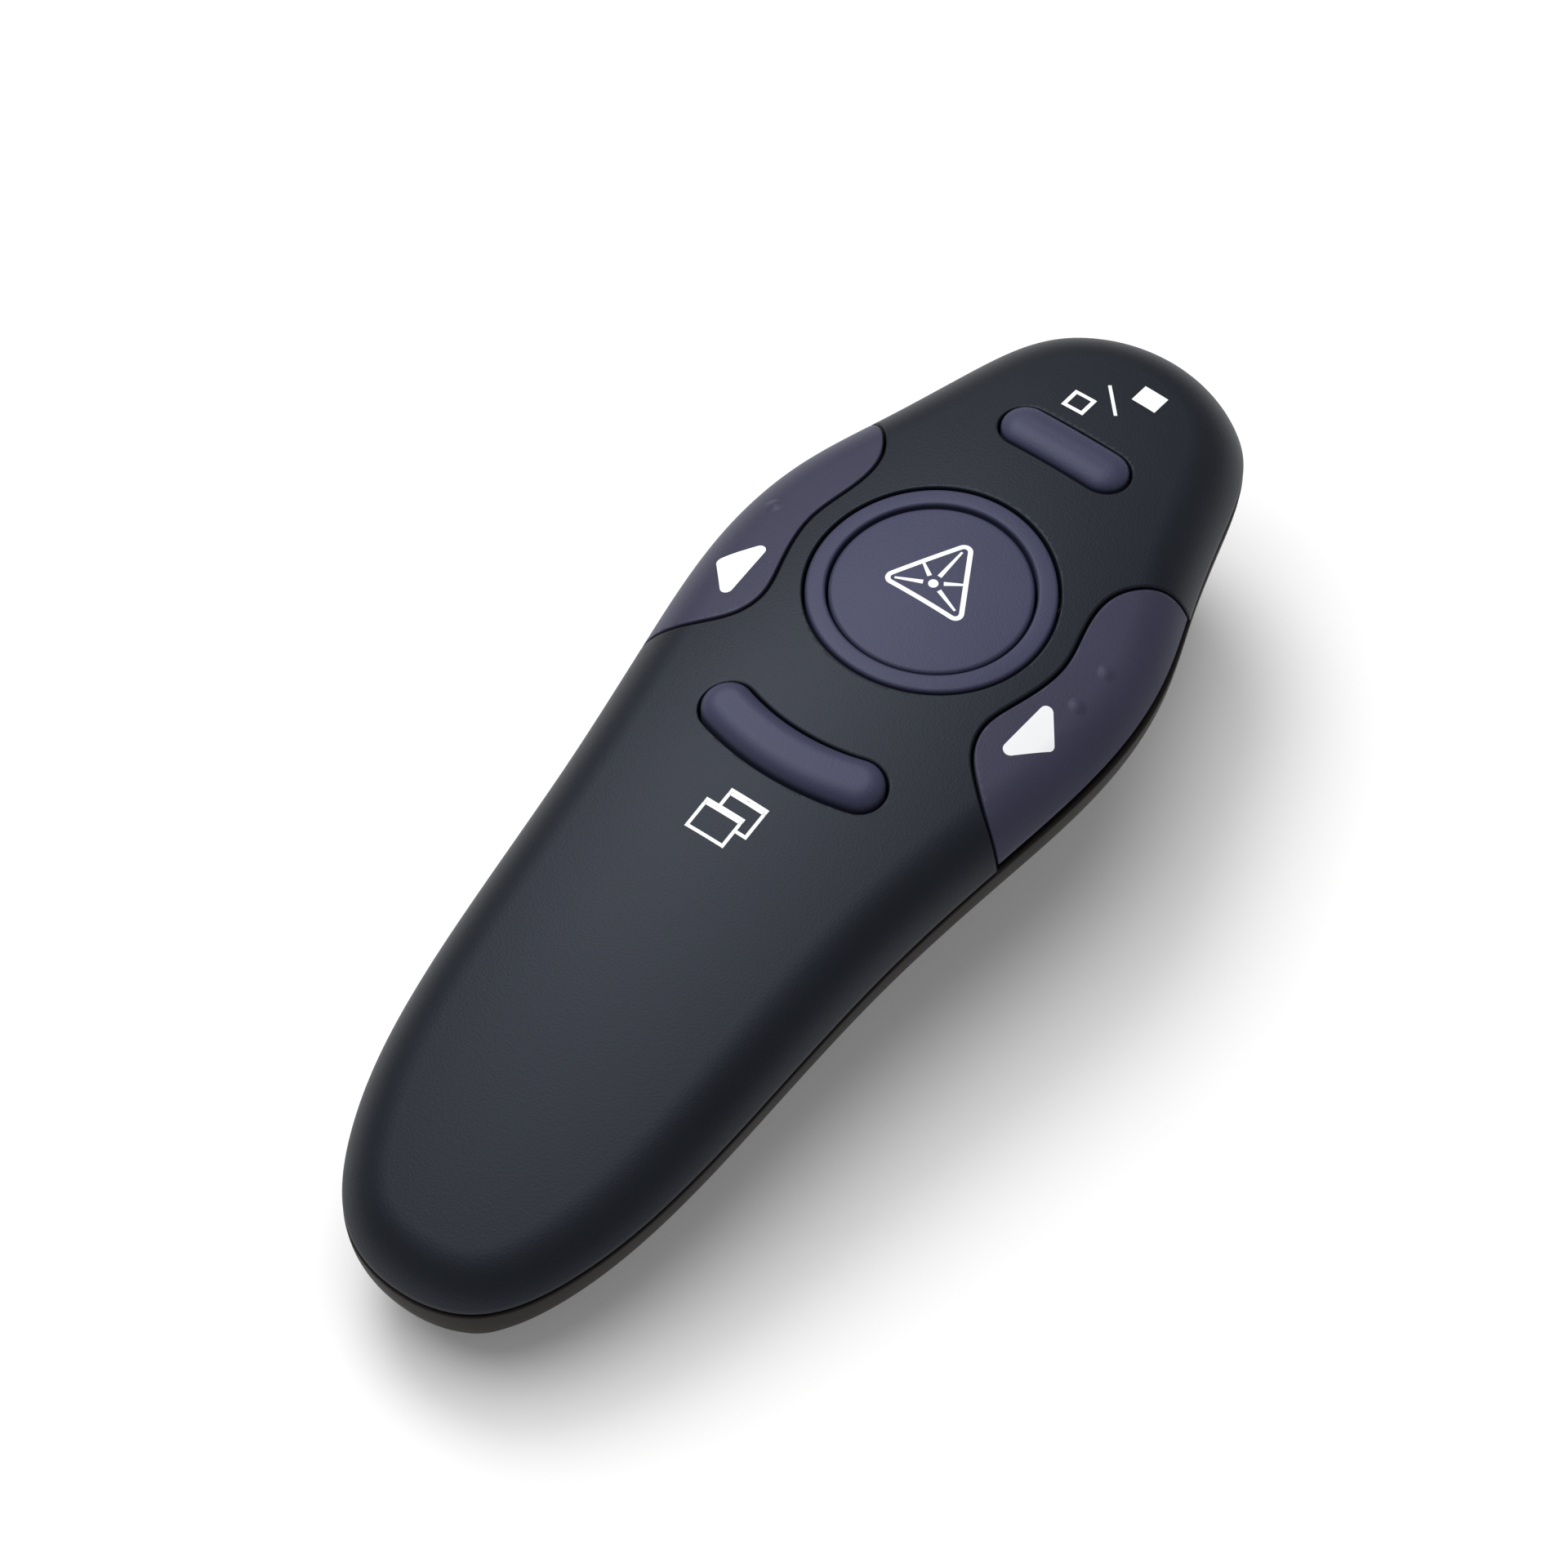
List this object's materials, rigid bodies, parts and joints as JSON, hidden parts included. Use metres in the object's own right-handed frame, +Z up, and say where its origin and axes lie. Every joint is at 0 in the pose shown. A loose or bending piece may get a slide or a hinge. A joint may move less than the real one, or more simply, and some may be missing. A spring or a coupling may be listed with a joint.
{
  "type": "wireless presentation clicker",
  "caption": "Hand-held wireless presentation clicker with an arched two-part shell, round laser key, wing keys, battery door, laser module and stored receiver.",
  "frame": {"origin": "middle of the bounding box footprint, on the flat underside", "axes": "+Y towards the nose where the laser comes out, +X to the user's right, +Z up through the keys"},
  "size_m": [0.0392, 0.105, 0.0261],
  "materials": {
    "soft_touch_shell": "soft-touch coating",
    "lower_shell": "fine spark texture",
    "key_plastic": "soft-touch coating",
    "wing_plastic": "soft-touch coating",
    "switch_black": "moulded",
    "switch_stem": "moulded",
    "board_green": "solder mask",
    "chip_black": "moulded epoxy",
    "can_metal": "tin plated",
    "cell_jacket": "printed jacket, plain",
    "contact_steel": "nickel plated",
    "barrel_brass": "turned",
    "clear_lens": "polished",
    "receiver_black": "polished",
    "tongue_white": "moulded",
    "screw_steel": "zinc plated"
  },
  "bodies": {
    "housing": {"top_shell": "soft_touch_shell", "bottom_shell": "lower_shell", "laser_ring": "key_plastic", "switch_housings": "switch_black", "circuit_board": "board_green", "radio_chip": "chip_black", "memory_chip": "chip_black", "crystal": "can_metal", "battery_left": "cell_jacket", "battery_right": "cell_jacket", "plate_contact": "contact_steel", "spring_contact": "contact_steel", "bridge_contact": "contact_steel", "laser_barrel": "barrel_brass", "laser_diode": "can_metal", "laser_lens": "clear_lens", "laser_board": "board_green", "laser_clamp": "contact_steel", "nose_window": "clear_lens", "power_body": "can_metal", "shell_screws": "screw_steel", "board_screws": "screw_steel"},
    "laser_key": {"laser_key": "key_plastic", "stem_laser": "switch_stem"},
    "blank_key": {"blank_key": "key_plastic", "stem_blank": "switch_stem"},
    "window_key": {"window_key": "key_plastic", "stem_window": "switch_stem"},
    "next_key": {"next_key": "wing_plastic", "stem_next": "switch_stem"},
    "previous_key": {"previous_key": "wing_plastic", "stem_previous": "switch_stem"},
    "battery_door": {"battery_door": "lower_shell"},
    "receiver": {"receiver_cap": "receiver_black", "receiver_plug": "contact_steel", "receiver_tongue": "tongue_white"},
    "power_slider": {"power_slider": "switch_stem"}
  },
  "joints": [
    {"name": "laser_key_press", "type": "slide", "parent": "housing", "child": "laser_key", "axis": [0, 0, -1], "range_m": [0, 0.0005], "stiffness_N_per_m": 2400},
    {"name": "blank_key_press", "type": "slide", "parent": "housing", "child": "blank_key", "axis": [0, 0, -1], "range_m": [0, 0.0005], "stiffness_N_per_m": 2400},
    {"name": "window_key_press", "type": "slide", "parent": "housing", "child": "window_key", "axis": [0, 0, -1], "range_m": [0, 0.0005], "stiffness_N_per_m": 2400},
    {"name": "next_key_press", "type": "slide", "parent": "housing", "child": "next_key", "axis": [0, 0, -1], "range_m": [0, 0.0005], "stiffness_N_per_m": 2400},
    {"name": "previous_key_press", "type": "slide", "parent": "housing", "child": "previous_key", "axis": [0, 0, -1], "range_m": [0, 0.0005], "stiffness_N_per_m": 2400},
    {"name": "battery_door_swing", "type": "hinge", "parent": "housing", "child": "battery_door", "pos_m": [0, 0.0116, 0.0006], "axis": [1, 0, 0], "range_deg": [0, 60]},
    {"name": "receiver_pull", "type": "slide", "parent": "housing", "child": "receiver", "axis": [0, 0, -1], "range_m": [0, 0.008]},
    {"name": "power_slide", "type": "slide", "parent": "housing", "child": "power_slider", "axis": [-0.302, -0.9533, 0], "range_m": [0, 0.002]}
  ]
}
